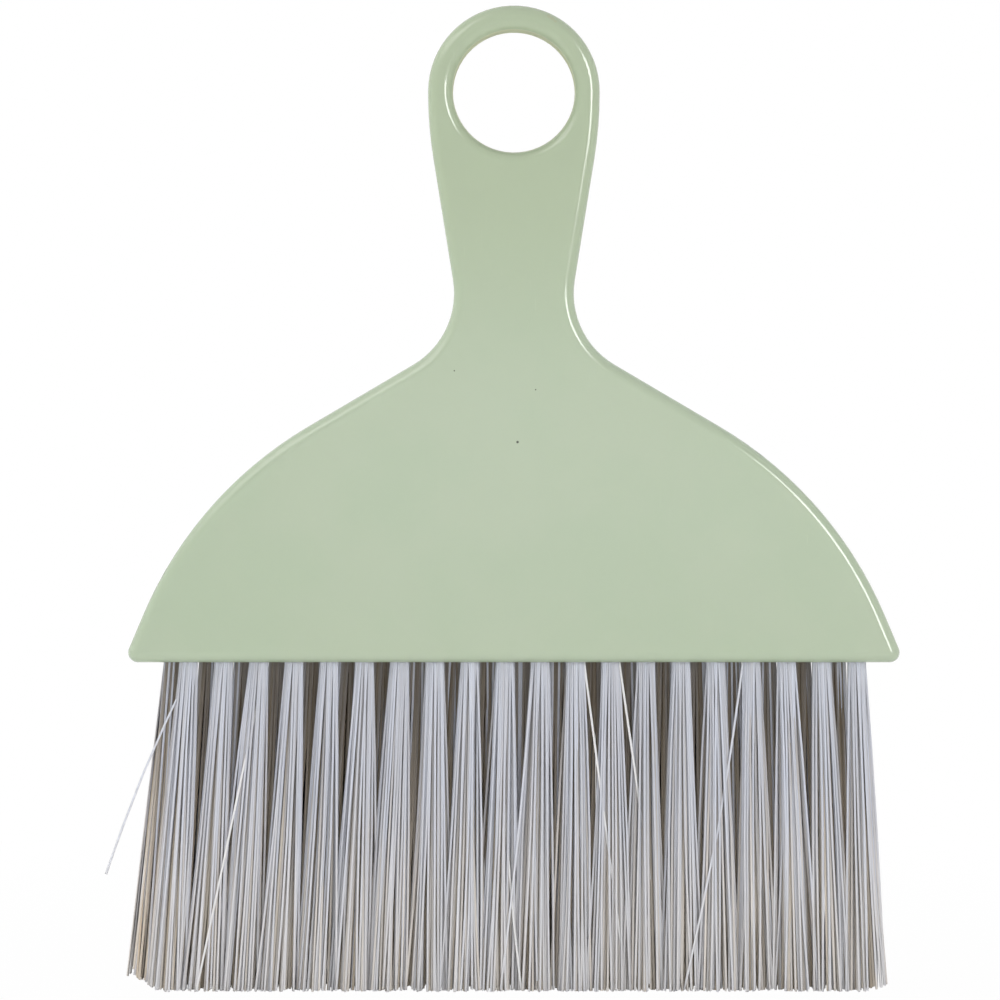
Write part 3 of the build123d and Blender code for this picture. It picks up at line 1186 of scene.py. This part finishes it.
@dataclass
class Studio:
    """The camera, the lamps, the pale floor and the white surroundings."""

    camera_x: float = -2.5 * MM
    camera_z: float = 88.4 * MM
    camera_distance: float = 0.9
    front_y: float = -8 * MM
    lens: float = 180.5
    sensor: float = 36.0
    clip: Pair = (0.05, 20.0)
    surround: float = 0.03
    floor_size: float = 6.0
    floor_tone: Colour = (0.9, 0.9, 0.9)
    floor_fade: Pair = (0.1, 0.4)
    floor_near: float = 0.98
    lamps: tuple[Lamp, ...] = field(
        default_factory=lambda: (
            Lamp("right_key", 27, 12, 1.3, 0.38, 0.42, 4.0),
            Lamp("front_fill", 3, 1, 1.0, 0.3, 0.12, 2.05, glossy=False),
            Lamp("upper_left", -31, 36, 1.3, 0.55, 0.55, 1.5),
            Lamp("left_strip", -62, 40, 1.3, 0.08, 0.5, 0.6),
            Lamp("left_wall", -97, 25, 1.0, 0.9, 0.9, 6.0, glossy=False),
            Lamp("right_wall", 105, 4, 1.0, 0.9, 0.9, 4.2, glossy=False),
            Lamp("back_wall", 180, 15, 1.2, 0.9, 0.9, 4.6, glossy=False),
            Lamp("ceiling", 0, 90, 1.0, 0.9, 0.9, 2.5, glossy=False),
            Lamp("table_glow", 0, -90, 0.0, 0.8, 0.4, 0.16, stand=(0.0, -0.24, 0.004)),
        )
    )

    def build(self) -> None:
        """Set up the whole studio."""
        self.camera()
        self.world()
        self.floor()
        for lamp in self.lamps:
            lamp.build(Vector((0.0, 0.0, self.camera_z)))
        bpy.context.scene.view_settings.view_transform = "Standard"

    def camera(self) -> None:
        """Place the camera straight in front of the broom."""
        data = bpy.data.cameras.new("camera")
        data.lens, data.sensor_width = self.lens, self.sensor
        data.clip_start, data.clip_end = self.clip
        camera = bpy.data.objects.new("camera", data)
        camera.location = (self.camera_x, self.front_y - self.camera_distance, self.camera_z)
        camera.rotation_euler = (math.pi / 2, 0.0, 0.0)
        bpy.context.scene.collection.objects.link(camera)
        bpy.context.scene.camera = camera

    def seen(self, nodes: Any, links: Any) -> Any:
        """1 for the rays that show the surroundings themselves, and 0 for those that carry light.

        Args:
            nodes: The tree's nodes.
            links: Its links.

        Returns:
            The value.
        """
        path = nodes.new("ShaderNodeLightPath")
        total = path.outputs["Is Camera Ray"]
        for name in ("Is Glossy Ray", "Is Transmission Ray"):
            larger = nodes.new("ShaderNodeMath")
            larger.operation = "MAXIMUM"
            links.new(total, larger.inputs[0])
            links.new(path.outputs[name], larger.inputs[1])
            total = larger.outputs[0]
        return total

    def world(self) -> None:
        """White surroundings, dimmer for the light that they give."""
        world = bpy.data.worlds.new("surroundings")
        world.use_nodes = True
        bpy.context.scene.world = world
        nodes, links = world.node_tree.nodes, world.node_tree.links
        back = nodes["Background"]
        back.inputs["Color"].default_value = (*WHITE, 1.0)
        level = nodes.new("ShaderNodeMapRange")
        links.new(self.seen(nodes, links), level.inputs["Value"])
        level.inputs["To Min"].default_value = self.surround
        links.new(level.outputs["Result"], back.inputs["Strength"])

    def floor(self) -> None:
        """A plain white floor that keeps a faint shadow and is clear from below."""
        deselect()
        bpy.ops.mesh.primitive_plane_add(size=self.floor_size)
        floor = bpy.context.object
        floor.name = "floor"
        dress(floor, self.floor_finish())

    def floor_finish(self) -> bpy.types.Material:
        """Write the floor's material: matte near the broom, pure white further out.

        Returns:
            The material.
        """
        material = bpy.data.materials.new("floor_white")
        material.use_nodes = True
        nodes, links = material.node_tree.nodes, material.node_tree.links
        nodes.clear()
        matte, glow = nodes.new("ShaderNodeBsdfDiffuse"), nodes.new("ShaderNodeEmission")
        matte.inputs["Color"].default_value = (*self.floor_tone, 1.0)
        glow.inputs["Color"].default_value = (*WHITE, 1.0)
        away = nodes.new("ShaderNodeVectorMath")
        away.operation = "LENGTH"
        links.new(nodes.new("ShaderNodeTexCoord").outputs["Object"], away.inputs[0])
        fade = nodes.new("ShaderNodeMapRange")
        links.new(away.outputs["Value"], fade.inputs["Value"])
        start, stop = self.floor_fade
        fade.inputs["From Min"].default_value, fade.inputs["From Max"].default_value = start, stop
        fade.inputs["To Min"].default_value = self.floor_near
        share = nodes.new("ShaderNodeMath")
        share.operation = "MULTIPLY"
        links.new(fade.outputs["Result"], share.inputs[1])
        links.new(self.seen(nodes, links), share.inputs[0])
        lit, whole = nodes.new("ShaderNodeMixShader"), nodes.new("ShaderNodeMixShader")
        links.new(share.outputs[0], lit.inputs[0])
        links.new(matte.outputs[0], lit.inputs[1])
        links.new(glow.outputs[0], lit.inputs[2])
        side = nodes.new("ShaderNodeNewGeometry")
        links.new(side.outputs["Backfacing"], whole.inputs[0])
        links.new(lit.outputs[0], whole.inputs[1])
        links.new(nodes.new("ShaderNodeBsdfTransparent").outputs[0], whole.inputs[2])
        end = nodes.new("ShaderNodeOutputMaterial")
        links.new(whole.outputs[0], end.inputs["Surface"])
        return material


def strays() -> tuple[Stray, ...]:
    """The strands that leave their tufts in the photograph.

    Returns:
        The strays, by the number of their tuft.
    """
    front = Side.FRONT
    left, right = (-0.95, -0.3), (0.95, -0.3)
    return (
        Stray(front, 1, right, (-73.5 * MM, -4.5 * MM, 21.0 * MM), (-0.9 * MM, 0.0), 1.3),
        Stray(front, 3, right, (-57.0 * MM, -7.7 * MM, 0.4 * MM), (0.0, -0.5 * MM)),
        Stray(front, 10, (-0.2, 0.4), (1.3 * MM, -7.2 * MM, 0.6 * MM), (-1.2 * MM, 0.3 * MM)),
        Stray(
            front, 11, (-0.9, -0.4), (-2.4 * MM, -7.2 * MM, 0.5 * MM), (0.5 * MM, -0.3 * MM), 1.2
        ),
        Stray(front, 12, (1.0, -0.2), (19.3 * MM, -5.2 * MM, 8.0 * MM), (0.0, -1.0 * MM)),
        Stray(front, 13, (1.0, -0.2), (24.6 * MM, -4.2 * MM, 20.0 * MM), (0.0, -0.9 * MM)),
        Stray(front, 17, left, (30.6 * MM, -7.0 * MM, 0.5 * MM), (0.9 * MM, -0.4 * MM), 1.3),
    )


def write_sizes() -> None:
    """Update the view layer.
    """
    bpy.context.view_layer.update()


def main() -> None:
    """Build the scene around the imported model."""
    logging.basicConfig(level=logging.INFO, format="%(name)s: %(message)s")
    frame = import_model()
    nodes = frame["nodes"]
    Studio().build()
    stock = StrandStock()
    strand = stock.model()
    grey = Filament(
        "grey_filament",
        cool=(0.755, 0.79, 0.895),
        # The next two colours are painted shade in the tufts' hearts and painted shadow under the
        # body.
        warm=(1.0, 0.88, 0.72),
        body_shadow=(0.175, 0.132, 0.078),
    )
    bristle = grey.material()
    pieces = MouldedBody(nodes).build() + BrushBlock(nodes).build()
    for side in Side:
        pieces += TuftRow(nodes, side, stock, bristle, strays()).build()
    bpy.data.objects.remove(strand)
    for piece in pieces:
        LOG.info("%s: %d faces", piece.name, len(piece.data.polygons))
    write_sizes()


if __name__ == "__main__":
    main()
